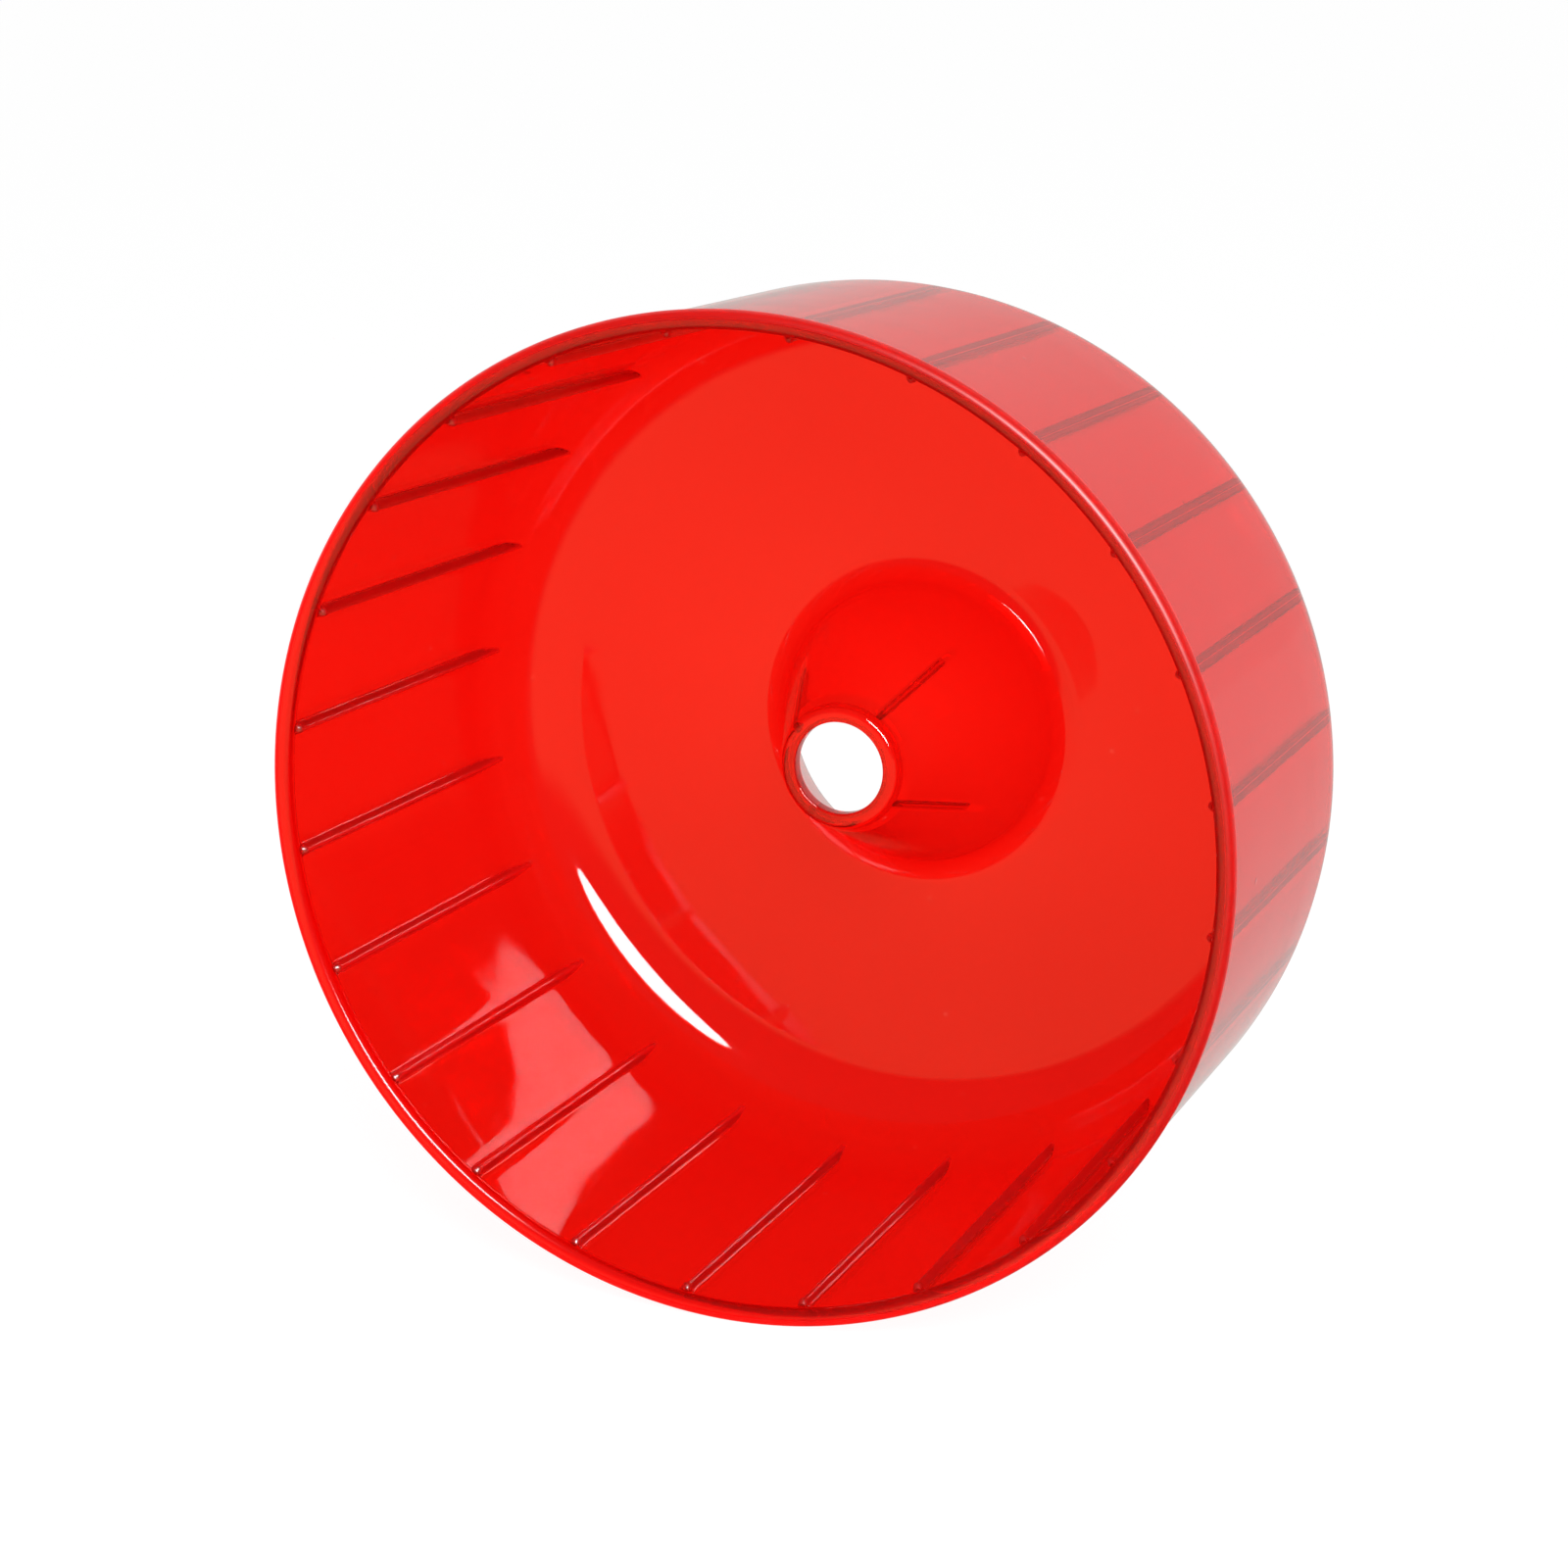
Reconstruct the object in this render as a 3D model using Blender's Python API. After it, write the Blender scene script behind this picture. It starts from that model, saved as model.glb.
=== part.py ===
"""Hamster exercise wheel: one clear red moulding, a drum that is open at the front.

The wheel turns about the Y axis. Its open front faces -Y, its closed back faces +Y,
and the origin is the middle of the bore that takes the axle, at the tip of the hub.
All sizes are in metres.
"""

import math

import bmesh
import bpy
from mathutils import Matrix, Vector

# Rim: the rounded bead round the open front
RIM_OUTER_RADIUS = 0.0700
RIM_BEAD_RADIUS = 0.00135

# Shell: one wall thickness all over; its middle lies inside the rim and is drawn in towards the back
WALL_THICKNESS = 0.0015
RIM_STEP = 0.0016
WALL_TAPER = 0.0020
WALL_FRONT_RADIUS = RIM_OUTER_RADIUS - RIM_STEP
WALL_BACK_RADIUS = WALL_FRONT_RADIUS - WALL_TAPER
WALL_DEPTH = 0.0671
BACK_CORNER_RADIUS = 0.0135

# Back plate: sinks backwards from the wall to the foot of the hub
PLATE_DISH_DEPTH = 0.0052

# Hub: a hollow cone that stands forward from the back plate
HUB_FOOT_RADIUS = 0.0220
HUB_FOOT_FILLET = 0.0055
HUB_HEIGHT = 0.0336
HUB_NOSE_RADIUS = 0.0087
HUB_NOSE_ROUND = 0.0012

# Bore: the collar at the tip of the hub that runs on the axle
BORE_RADIUS = 0.0067
BORE_LENGTH = 0.0028
BORE_ROUND = 0.0003

# Hub ribs: low ribs on the inside of the cone, from the collar backwards
RIB_COUNT = 4
RIB_THICKNESS = 0.0013
RIB_HEIGHT = 0.0009
RIB_REACH = 0.0190
RIB_SEAT_DEPTH = 0.0007

# Running bars: round-topped rungs on the inside of the wall, each with a ball at its front end
BAR_COUNT = 24
BAR_HALF_WIDTH = 0.0006
BAR_HEIGHT = 0.0012
BAR_ROOT_DEPTH = 0.0002
BALL_HALF_WIDTH = 0.00085
BALL_HEIGHT = 0.0013
BALL_FRONT_DEPTH = 0.0016

# How finely the round shapes are faceted
WHEEL_SEGMENTS = 96
BAR_TOP_STEPS = 5
BALL_STEPS = 4
BEAD_QUARTER_STEPS = 2
CORNER_STEPS = 8
FILLET_STEPS = 4
NOSE_STEPS = 3
EDGE_STEPS = 2

# Where the first bar and the first hub rib lie past the level line, as shares of their pitch
BAR_PHASE_SHARE = 0.5
RIB_PHASE_SHARE = 0.5

PLASTIC_COLOUR = (0.80, 0.008, 0.004, 1.0)
PLASTIC_ROUGHNESS = 0.08


def remove_old_objects():
    for old in list(bpy.data.objects):
        bpy.data.objects.remove(old, do_unlink=True)


def clear_red_plastic():
    material = bpy.data.materials.new("clear_red_plastic")
    material.use_nodes = True
    shader = material.node_tree.nodes["Principled BSDF"]
    shader.inputs["Base Color"].default_value = PLASTIC_COLOUR
    shader.inputs["Roughness"].default_value = PLASTIC_ROUGHNESS
    shader.inputs["Metallic"].default_value = 0.0
    return material


def unit(vector):
    return vector / vector.length


def left_normal(start, end):
    """The direction square to a line, on its left side as it runs from start to end."""
    along = unit(end - start)
    return Vector((-along.y, along.x))


def meeting_point(point_a, direction_a, point_b, direction_b):
    """Where two lines in the section plane cross."""
    cross = direction_a.x * direction_b.y - direction_a.y * direction_b.x
    gap = point_b - point_a
    share = (gap.x * direction_b.y - gap.y * direction_b.x) / cross
    return point_a + share * direction_a


def offset_line(points, distance):
    """A bent line moved sideways, to its left where the distance is positive."""
    moved = [points[0] + distance * left_normal(points[0], points[1])]
    for before, here, after in zip(points, points[1:], points[2:]):
        first = left_normal(before, here)
        second = left_normal(here, after)
        moved.append(meeting_point(before + distance * first, here - before,
                                   after + distance * second, here - after))
    moved.append(points[-1] + distance * left_normal(points[-2], points[-1]))
    return moved


def rounded(before, corner, after, radius, steps):
    """Points along the arc that rounds a corner and is tangent to both of its sides."""
    to_before = unit(before - corner)
    to_after = unit(after - corner)
    half_angle = 0.5 * to_before.angle(to_after)
    centre = corner + unit(to_before + to_after) * (radius / math.sin(half_angle))
    tangent_length = radius / math.tan(half_angle)
    start = corner + tangent_length * to_before - centre
    sweep = start.angle_signed(corner + tangent_length * to_after - centre)
    return [centre + Matrix.Rotation(-sweep * step / steps, 2) @ start for step in range(steps + 1)]


def middle_line():
    """The middle of the wall in section, as (radius, depth behind the rim): wall, plate and cone."""
    half_wall = 0.5 * WALL_THICKNESS
    rim = Vector((WALL_FRONT_RADIUS, RIM_BEAD_RADIUS))
    corner = Vector((WALL_BACK_RADIUS, WALL_DEPTH))
    foot = Vector((HUB_FOOT_RADIUS, WALL_DEPTH + PLATE_DISH_DEPTH))
    nose = Vector((HUB_NOSE_RADIUS - half_wall, foot.y - HUB_HEIGHT))
    return [rim, corner, foot, nose]


def nose_depth():
    """How far the front face of the hub lies behind the front of the rim."""
    return middle_line()[-1].y


def origin_depth():
    """The middle of the bore, measured from the front of the rim."""
    return nose_depth() + 0.5 * BORE_LENGTH


def radius_on_line(start, end, depth):
    share = (depth - start.y) / (end.y - start.y)
    return start.x + share * (end.x - start.x)


def rim_bead(outer_start, inner_start):
    """The round bead at the front of the wall, from the outside of the wall round to its inside."""
    centre = Vector((RIM_OUTER_RADIUS - RIM_BEAD_RADIUS, RIM_BEAD_RADIUS))

    def angle_at(radius):
        return math.acos((radius - centre.x) / RIM_BEAD_RADIUS)

    start = angle_at(outer_start.x)
    end = angle_at(inner_start.x) - math.tau
    step = 0.5 * math.pi / BEAD_QUARTER_STEPS
    between = range(math.floor(start / step), math.floor(end / step), -1)
    angles = [start] + [count * step for count in between] + [end]
    return [centre + RIM_BEAD_RADIUS * Vector((math.cos(angle), math.sin(angle))) for angle in angles]


def shell_section():
    """The closed outline of the wheel's wall, down its outer side and up its inner side."""
    middle = middle_line()
    half_wall = 0.5 * WALL_THICKNESS
    inner = offset_line(middle, half_wall)
    outer = offset_line(middle, -half_wall)

    front_edge = nose_depth()
    collar_end = front_edge + BORE_LENGTH
    cone_tip = Vector((radius_on_line(inner[2], inner[3], front_edge), front_edge))
    bore_front = Vector((BORE_RADIUS, front_edge))
    bore_back = Vector((BORE_RADIUS, collar_end))
    collar_root = Vector((radius_on_line(outer[2], outer[3], collar_end), collar_end))

    section = rounded(outer[2], outer[1], outer[0], BACK_CORNER_RADIUS + WALL_THICKNESS, CORNER_STEPS)
    section += rim_bead(outer[0], inner[0])
    section += rounded(inner[0], inner[1], inner[2], BACK_CORNER_RADIUS, CORNER_STEPS)
    section += rounded(inner[1], inner[2], cone_tip, HUB_FOOT_FILLET, FILLET_STEPS)
    section += rounded(inner[2], cone_tip, bore_front, HUB_NOSE_ROUND, NOSE_STEPS)
    section += rounded(cone_tip, bore_front, bore_back, BORE_ROUND, EDGE_STEPS)
    section += rounded(bore_front, bore_back, collar_root, BORE_ROUND, EDGE_STEPS)
    section += [collar_root]
    section += rounded(collar_root, outer[2], outer[1], HUB_FOOT_FILLET + WALL_THICKNESS, FILLET_STEPS)
    return section


def section_object(name, points):
    """A closed outline in the XZ plane, with its depth behind the rim taken along Z."""
    mesh = bpy.data.meshes.new(name)
    corners = [(point.x, 0.0, point.y - origin_depth()) for point in points]
    edges = [(index, (index + 1) % len(corners)) for index in range(len(corners))]
    mesh.from_pydata(corners, edges, [])
    outline = bpy.data.objects.new(name, mesh)
    bpy.context.scene.collection.objects.link(outline)
    return outline


def turned_about_the_axis(outline):
    """Carry the outline once round the wheel's axis."""
    turn = outline.modifiers.new("turn", "SCREW")
    turn.axis = "Z"
    turn.angle = math.tau
    turn.steps = WHEEL_SEGMENTS
    turn.render_steps = WHEEL_SEGMENTS
    turn.use_merge_vertices = True
    turn.merge_threshold = 0.01 * BORE_ROUND
    turn.use_smooth_shade = True


def bar_run_into_corner():
    """How far a bar runs on past the start of the corner's arc, so that it ends inside the wall.

    The arc covers the bar's ridge after the first distance, and the bar's root would come
    out through the back of the wall after the second. The bar ends midway between them.
    """
    outer_radius = BACK_CORNER_RADIUS + WALL_THICKNESS
    covered = math.sqrt(BACK_CORNER_RADIUS ** 2 - (BACK_CORNER_RADIUS - BAR_HEIGHT) ** 2)
    through = math.sqrt(outer_radius ** 2 - (BACK_CORNER_RADIUS + BAR_ROOT_DEPTH) ** 2)
    return 0.5 * (covered + through)


def bar_stations():
    """A bar from front to back, as (depth behind the rim, half width, height): a ball, then an even rung."""
    wall_front, corner, plate = offset_line(middle_line(), 0.5 * WALL_THICKNESS)[:3]
    arc_start = rounded(wall_front, corner, plate, BACK_CORNER_RADIUS, CORNER_STEPS)[0]
    back = arc_start.y + bar_run_into_corner()
    neck_angle = math.pi - math.asin(BAR_HALF_WIDTH / BALL_HALF_WIDTH)
    stations = []
    for step in range(1, BALL_STEPS + 1):
        angle = neck_angle * step / BALL_STEPS
        height = BALL_HEIGHT * math.sin(angle)
        if angle > 0.5 * math.pi:
            height = max(height, BAR_HEIGHT)
        depth = BALL_FRONT_DEPTH + BALL_HALF_WIDTH * (1.0 - math.cos(angle))
        stations.append((depth, BALL_HALF_WIDTH * math.sin(angle), height))
    return stations + [(back, BAR_HALF_WIDTH, BAR_HEIGHT)]


def bar_outline(half_width, height):
    """A bar in cross-section, as (height over the wall, sideways): a round top and a flat root in the wall."""
    angles = [math.pi * (step / BAR_TOP_STEPS - 0.5) for step in range(BAR_TOP_STEPS + 1)]
    top = [(height * math.cos(angle), half_width * math.sin(angle)) for angle in angles]
    return top + [(-BAR_ROOT_DEPTH, half_width), (-BAR_ROOT_DEPTH, -half_width)]


def add_bar(bars, angle):
    """One rung with a ball at its front end, its root sunk in the inner face of the wall."""
    wall_front, corner = offset_line(middle_line(), 0.5 * WALL_THICKNESS)[:2]
    turn = Matrix.Rotation(angle, 3, "Z")

    def placed(depth, height, sideways):
        radius = radius_on_line(wall_front, corner, depth) - height
        return bars.verts.new(turn @ Vector((radius, sideways, depth - origin_depth())))

    rings = []
    for depth, half_width, height in bar_stations():
        rings.append([placed(depth, rise, sideways) for rise, sideways in bar_outline(half_width, height)])
    point = placed(BALL_FRONT_DEPTH, 0.0, 0.0)
    sides = len(rings[0])
    for side in range(sides):
        other = (side + 1) % sides
        bars.faces.new((point, rings[0][other], rings[0][side]))
        for ring, after in zip(rings, rings[1:]):
            bars.faces.new((ring[side], ring[other], after[other], after[side]))
    bars.faces.new(rings[-1])


def bars_object():
    bars = bmesh.new()
    pitch = math.tau / BAR_COUNT
    for index in range(BAR_COUNT):
        add_bar(bars, (index + BAR_PHASE_SHARE) * pitch)
    return joining_object("running_bars", bars)


def rib_outline():
    """One hub rib in section: its inner edge runs beside the cone's wall, its outer edge lies in the wall."""
    middle = middle_line()
    edge = offset_line(middle, -0.5 * WALL_THICKNESS - RIB_HEIGHT)
    front = nose_depth() + BORE_LENGTH - RIB_SEAT_DEPTH
    back = nose_depth() + RIB_REACH
    inner = [Vector((radius_on_line(edge[2], edge[3], depth), depth)) for depth in (front, back)]
    outer = [Vector((radius_on_line(middle[2], middle[3], depth), depth)) for depth in (back, front)]
    return inner + outer


def ribs_object():
    ribs = bmesh.new()
    half = 0.5 * RIB_THICKNESS
    pitch = math.tau / RIB_COUNT
    for index in range(RIB_COUNT):
        turn = Matrix.Rotation((index + RIB_PHASE_SHARE) * pitch, 3, "Z")
        sides = []
        for offset in (-half, half):
            corners = [Vector((point.x, offset, point.y - origin_depth())) for point in rib_outline()]
            sides.append([ribs.verts.new(turn @ corner) for corner in corners])
        near, far = sides
        ribs.faces.new(near)
        ribs.faces.new(reversed(far))
        for corner in range(len(near)):
            other = (corner + 1) % len(near)
            ribs.faces.new((near[other], near[corner], far[corner], far[other]))
    return joining_object("hub_ribs", ribs)


def joining_object(name, shapes):
    """A guide object that holds closed shapes to be joined to the wheel."""
    bmesh.ops.recalc_face_normals(shapes, faces=shapes.faces)
    mesh = bpy.data.meshes.new(name)
    shapes.to_mesh(mesh)
    shapes.free()
    guide = bpy.data.objects.new(name, mesh)
    guide.hide_render = True
    guide.display_type = "WIRE"
    bpy.context.scene.collection.objects.link(guide)
    return guide


def join_to(wheel, guide):
    guide.parent = wheel
    union = wheel.modifiers.new(guide.name, "BOOLEAN")
    union.operation = "UNION"
    union.solver = "EXACT"
    union.object = guide


def build_wheel():
    wheel = section_object("wheel", shell_section())
    wheel.data.materials.append(clear_red_plastic())
    turned_about_the_axis(wheel)
    join_to(wheel, bars_object())
    join_to(wheel, ribs_object())
    wheel.rotation_euler.x = -0.5 * math.pi
    return wheel


def main():
    remove_old_objects()
    build_wheel()


main()
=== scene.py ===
# %% [markdown]
# # A clear red exercise wheel for a hamster
#
# The real object is one injection moulding in clear red plastic: a drum that is open at the
# front, with round-topped running bars inside it, a dished back plate, and a hollow hub with a
# bore for the axle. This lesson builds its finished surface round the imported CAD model,
# gives it a clear coloured plastic, and sets up a pale floor, soft light and a camera.
# Every length is in metres, and the wheel turns about the Y axis with its open front at -Y.

# %% Load the fixed frame
import math

import bpy
import numpy as np
from mathutils import Matrix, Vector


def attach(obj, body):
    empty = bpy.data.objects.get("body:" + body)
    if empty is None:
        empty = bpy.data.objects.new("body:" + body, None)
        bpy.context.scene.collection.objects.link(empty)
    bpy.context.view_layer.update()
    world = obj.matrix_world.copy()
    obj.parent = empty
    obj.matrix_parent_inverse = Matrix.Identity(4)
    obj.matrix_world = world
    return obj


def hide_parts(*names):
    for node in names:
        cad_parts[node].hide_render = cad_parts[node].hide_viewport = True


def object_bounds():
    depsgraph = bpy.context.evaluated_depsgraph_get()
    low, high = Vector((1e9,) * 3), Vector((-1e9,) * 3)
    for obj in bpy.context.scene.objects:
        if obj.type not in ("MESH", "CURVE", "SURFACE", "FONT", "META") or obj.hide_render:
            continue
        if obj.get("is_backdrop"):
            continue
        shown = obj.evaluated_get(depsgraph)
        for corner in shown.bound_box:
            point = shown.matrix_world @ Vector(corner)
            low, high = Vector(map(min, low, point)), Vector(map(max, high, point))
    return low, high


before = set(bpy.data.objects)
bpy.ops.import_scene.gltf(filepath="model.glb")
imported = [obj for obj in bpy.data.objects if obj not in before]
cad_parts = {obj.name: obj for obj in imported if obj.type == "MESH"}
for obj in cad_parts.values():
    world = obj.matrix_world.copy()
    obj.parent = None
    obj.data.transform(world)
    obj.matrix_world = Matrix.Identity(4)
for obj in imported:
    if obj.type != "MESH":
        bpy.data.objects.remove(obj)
CAD_LOW, CAD_HIGH = (list(corner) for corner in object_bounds())
print("CAD box from", CAD_LOW, "to", CAD_HIGH)

# %% [markdown]
# ## The section of the moulding
#
# A moulding like this has one wall thickness all over, so its section is one bent line, the
# middle of the wall, moved half a thickness to either side. The bent line runs from the rim
# down the drum, in along the back plate and forward up the hub. It could be drawn by hand as
# a closed outline, but then every change of thickness or angle would have to be drawn again.
# Points in the section are complex numbers: the real part is the radius and the imaginary
# part is the depth behind the front of the rim, which makes turning and offsetting them short.

# %% Sizes of the section
RIM_RADIUS = 0.0700
BEAD_RADIUS = 0.00135
WALL = 0.0015
RIM_STEP = 0.0016
WALL_TAPER = 0.0020
WALL_FRONT_RADIUS = RIM_RADIUS - RIM_STEP
WALL_BACK_RADIUS = WALL_FRONT_RADIUS - WALL_TAPER
WALL_DEPTH = 0.0671
CORNER_RADIUS = 0.0135
DISH_DEPTH = 0.0052
FOOT_RADIUS = 0.0216
FOOT_FILLET = 0.0045
HUB_HEIGHT = 0.0336
NOSE_RADIUS = 0.0087
NOSE_ROUND = 0.0012
BORE_RADIUS = 0.0067
BORE_LENGTH = 0.0028
BORE_ROUND = 0.0003
BORE_LEAD_IN = 0.0010
MOUTH_ROUND = 0.0040

print("rim", 2 * RIM_RADIUS, "m across, wall", WALL, "m thick")

# %% Helpers for lines and arcs in the section


def unit(z):
    """A direction of length one: the number divided by its length."""
    return z / abs(z)


def crossing(p, u, q, v):
    """Where the line through p along u meets the line through q along v."""
    return p + u * ((q - p) * v.conjugate()).imag / (u * v.conjugate()).imag


def offset(points, distance):
    """A bent line moved sideways: each corner is where its two moved sides meet."""
    moved = [points[0] + distance * 1j * unit(points[1] - points[0])]
    for before, here, after in zip(points, points[1:], points[2:]):
        first = distance * 1j * unit(here - before)
        second = distance * 1j * unit(after - here)
        moved.append(crossing(before + first, here - before, after + second, after - here))
    return moved + [points[-1] + distance * 1j * unit(points[-1] - points[-2])]


def line(start, end, shares):
    """Points on a straight line, each a share of the way from start to end."""
    return start + (end - start) * np.asarray(shares, float)


def arc(centre, start, sweep, shares):
    """Points on a circle: the arm from centre to start, turned by shares of the sweep."""
    return centre + (start - centre) * np.exp(1j * sweep * np.asarray(shares, float))


def rounding(before, corner, after, radius, shares):
    """The arc that touches both sides of a corner, from its first side to its second."""
    back, ahead = unit(before - corner), unit(after - corner)
    half = 0.5 * abs(np.angle(ahead / back))
    centre = corner + unit(back + ahead) * radius / math.sin(half)
    start = corner + back * radius / math.tan(half)
    end = corner + ahead * radius / math.tan(half)
    return arc(centre, start, np.angle((end - centre) / (start - centre)), shares)


def radius_at(start, end, depth):
    """The radius of a straight line at a depth, by the share of the way along it."""
    return start.real + (end.real - start.real) * (depth - start.imag) / (end.imag - start.imag)


# %% The bent middle line and its two sides
foot_depth = WALL_DEPTH + DISH_DEPTH
nose_depth = foot_depth - HUB_HEIGHT
collar_depth = nose_depth + BORE_LENGTH
origin_depth = nose_depth + 0.5 * BORE_LENGTH
middle = [complex(WALL_FRONT_RADIUS, BEAD_RADIUS), complex(WALL_BACK_RADIUS, WALL_DEPTH),
          complex(FOOT_RADIUS, foot_depth), complex(NOSE_RADIUS - 0.5 * WALL, nose_depth)]
inside = offset(middle, 0.5 * WALL)
outside = offset(middle, -0.5 * WALL)
print("the origin lies", round(origin_depth, 5), "m behind the front of the rim")

# %% [markdown]
# ## Rows along the section
#
# The finished surface is one closed grid: rows follow the section all the way round the
# wall's thickness, and columns go round the axle. Such a grid closes on itself both ways, so
# it has no seam, no pole and no open edge, which clear plastic needs: light must find a
# way in and a way out through every wall. Rows lie close together where the section bends or
# where a bar or rib ends. In the middle of the long walls they carry no shape, so they are few
# there, and the whole wheel stays under 200,000 triangles. A wall's first and last steps stay
# short, because smooth shading spreads a bend's slope over the step beside it. For the same
# reason two extra rows lie close before the sharp hollow between outer wall and bead.

# %% Steps of each run of the section
ROWS = {"corner_out": 14, "bead": 26, "ball": 9, "corner_in": 24, "plate_in": 9, "foot": 12,
        "cone": 7, "nose": 10, "face": 2, "bore_in": 4, "bore": 2, "bore_out": 6, "collar": 3,
        "rib_run": 6, "rib_tip": 6, "cone_back": 3, "mouth": 10, "plate_out": 9}


def even(run, first=True, last=True):
    """Evenly spaced shares of a run, from 0 to 1 in as many steps as ROWS gives it; first
    and last say whether its two ends are kept."""
    shares = np.linspace(0.0, 1.0, ROWS[run] + 1)
    return shares[0 if first else 1:None if last else -1]


def straight(run, start, end):
    """The rows of a straight run, from start to end without these two."""
    return line(start, end, even(run, False, False))


print(sum(ROWS.values()), "steps in", len(ROWS), "runs")

# %% Rows: outer corner, outer wall and rim bead
OUTER_WALL_SHARES = [0.2, 0.8, 0.99, 0.998]

corner_out = rounding(outside[2], outside[1], outside[0], CORNER_RADIUS + WALL, even("corner_out"))
bead_centre = complex(RIM_RADIUS - BEAD_RADIUS, BEAD_RADIUS)


def bead_angle(wall_radius):
    """The angle, seen from the bead's centre, at which the bead meets a side of the wall."""
    return math.acos((wall_radius - bead_centre.real) / BEAD_RADIUS)


bead_start = bead_angle(outside[0].real)
bead_sweep = bead_angle(inside[0].real) - math.tau - bead_start
bead = arc(bead_centre, bead_centre + BEAD_RADIUS * np.exp(1j * bead_start), bead_sweep,
           even("bead"))
wall_out = line(corner_out[-1], bead[0], OUTER_WALL_SHARES)
print(len(wall_out), "rows on the outer wall,", len(bead), "round the bead")

# %% Rows: inner wall and inner corner, with fine rows across the balls of the bars
BALL_RADIUS = 0.00085
BALL_FRONT = 0.0016
BALL_SUPPORT_SHARE = 0.02
BALL_ROWS_REACH = 1.15 * BALL_RADIUS
INNER_WALL_SHARES = [1 / 9, 3 / 9, 6 / 9, 8 / 9, 1.0]

ball_depth = BALL_FRONT + BALL_RADIUS
ball_shares = np.r_[BALL_SUPPORT_SHARE, even("ball", False)]
ball_rows = bead[-1].imag + (ball_depth + BALL_ROWS_REACH - bead[-1].imag) * ball_shares
ball_line = np.array([complex(radius_at(inside[0], inside[1], d), d) for d in ball_rows])
corner_in = rounding(inside[0], inside[1], inside[2], CORNER_RADIUS, even("corner_in"))
wall_in = line(ball_line[-1], corner_in[0], INNER_WALL_SHARES)
corner_in = corner_in[1:]
print(len(ball_line) + len(wall_in), "rows on the inner wall,", len(corner_in), "on its corner")

# %% Rows: hub foot, nose, bore and the mouth of the hollow
cone_tip = complex(radius_at(inside[2], inside[3], nose_depth), nose_depth)
bore_front = complex(BORE_RADIUS, nose_depth)
bore_back = complex(BORE_RADIUS, collar_depth)
collar_root = complex(radius_at(outside[2], outside[3], collar_depth), collar_depth)

foot = rounding(inside[1], inside[2], cone_tip, FOOT_FILLET, even("foot"))
nose = rounding(inside[2], cone_tip, bore_front, NOSE_ROUND, even("nose"))
bore_in = rounding(cone_tip, bore_front, bore_back, BORE_ROUND, even("bore_in"))
bore_out = rounding(bore_front, bore_back, collar_root, BORE_LEAD_IN, even("bore_out"))
mouth = rounding(collar_root, outside[2], outside[1], MOUTH_ROUND, even("mouth"))
print(len(foot), "rows on the foot,", len(nose), "on the nose,", len(mouth), "at the mouth")

# %% Rows: the ribs on the inside of the cone, close together where they end
RIB_REACH = 0.0190
RIB_END_TAPER = 0.0010
RIB_END_CROWDING = 1.5

rib_end = nose_depth + RIB_REACH
rib_end_rows = rib_end - RIB_END_TAPER * (1.0 - even("rib_tip")) ** RIB_END_CROWDING
rib_tip = np.array([complex(radius_at(outside[2], outside[3], d), d) for d in rib_end_rows])
print("the ribs end", round(rib_end, 5), "m behind the front of the rim")

# %% All the rows in order round the section
SECTIONS = [("corner_out", corner_out), ("wall_out", wall_out), ("bead", bead),
            ("ball", ball_line), ("wall_in", wall_in), ("corner_in", corner_in),
            ("plate_in", straight("plate_in", corner_in[-1], foot[0])), ("foot", foot),
            ("cone", straight("cone", foot[-1], nose[0])), ("nose", nose),
            ("face", straight("face", nose[-1], bore_in[0])), ("bore_in", bore_in),
            ("bore", straight("bore", bore_in[-1], bore_out[0])), ("bore_out", bore_out),
            ("collar", straight("collar", bore_out[-1], collar_root)),
            ("rib_run", line(collar_root, rib_tip[0], even("rib_run", True, False))),
            ("rib_tip", rib_tip), ("cone_back", straight("cone_back", rib_tip[-1], mouth[0])),
            ("mouth", mouth), ("plate_out", straight("plate_out", mouth[-1], corner_out[0]))]
section = np.concatenate([points for _, points in SECTIONS])
part_of_row = np.concatenate([[name] * len(points) for name, points in SECTIONS])
print(len(section), "rows")

# %% [markdown]
# ## The back, level with the CAD model
#
# The mouth of the hub is rounded less here than in the CAD model, so the lowest ring of the
# plate's back would stand a little behind the model's. The last two millimetres of the back
# are pressed together by that much, as if the moulding stood on a hot flat plate. Moving the
# whole plate forwards would be simpler, but it would move the hub and its bore as well.

# %% Press the back level with the CAD model's back
PRESSED_DEPTH = 0.0020

press_start = CAD_HIGH[1] + origin_depth - PRESSED_DEPTH
at_back = np.isin(part_of_row, ["mouth", "plate_out", "corner_out"])
past_start = np.where(at_back, np.maximum(section.imag - press_start, 0.0), 0.0)
press_share = min(1.0, PRESSED_DEPTH / past_start.max())
section = section - 1j * past_start * (1.0 - press_share)
print("the back is pressed in by", round(past_start.max() * (1.0 - press_share), 6), "m")

# %% [markdown]
# ## Columns round the axle
#
# Twenty-four bars stand on the wall and four low ribs stand inside the hub. Both are part of
# the same grid, so the columns have to lie where the bars and ribs are. On the wall they
# gather in groups across each bar; in the hub they gather across each rib. Between the two,
# on the plain plate, every column slides smoothly from one place to the other.

# %% Columns gathered on the bars
BAR_COUNT = 24
BAR_SPREAD = 0.00115
BAR_COLUMNS = 15
GAP_COLUMNS = 4

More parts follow.
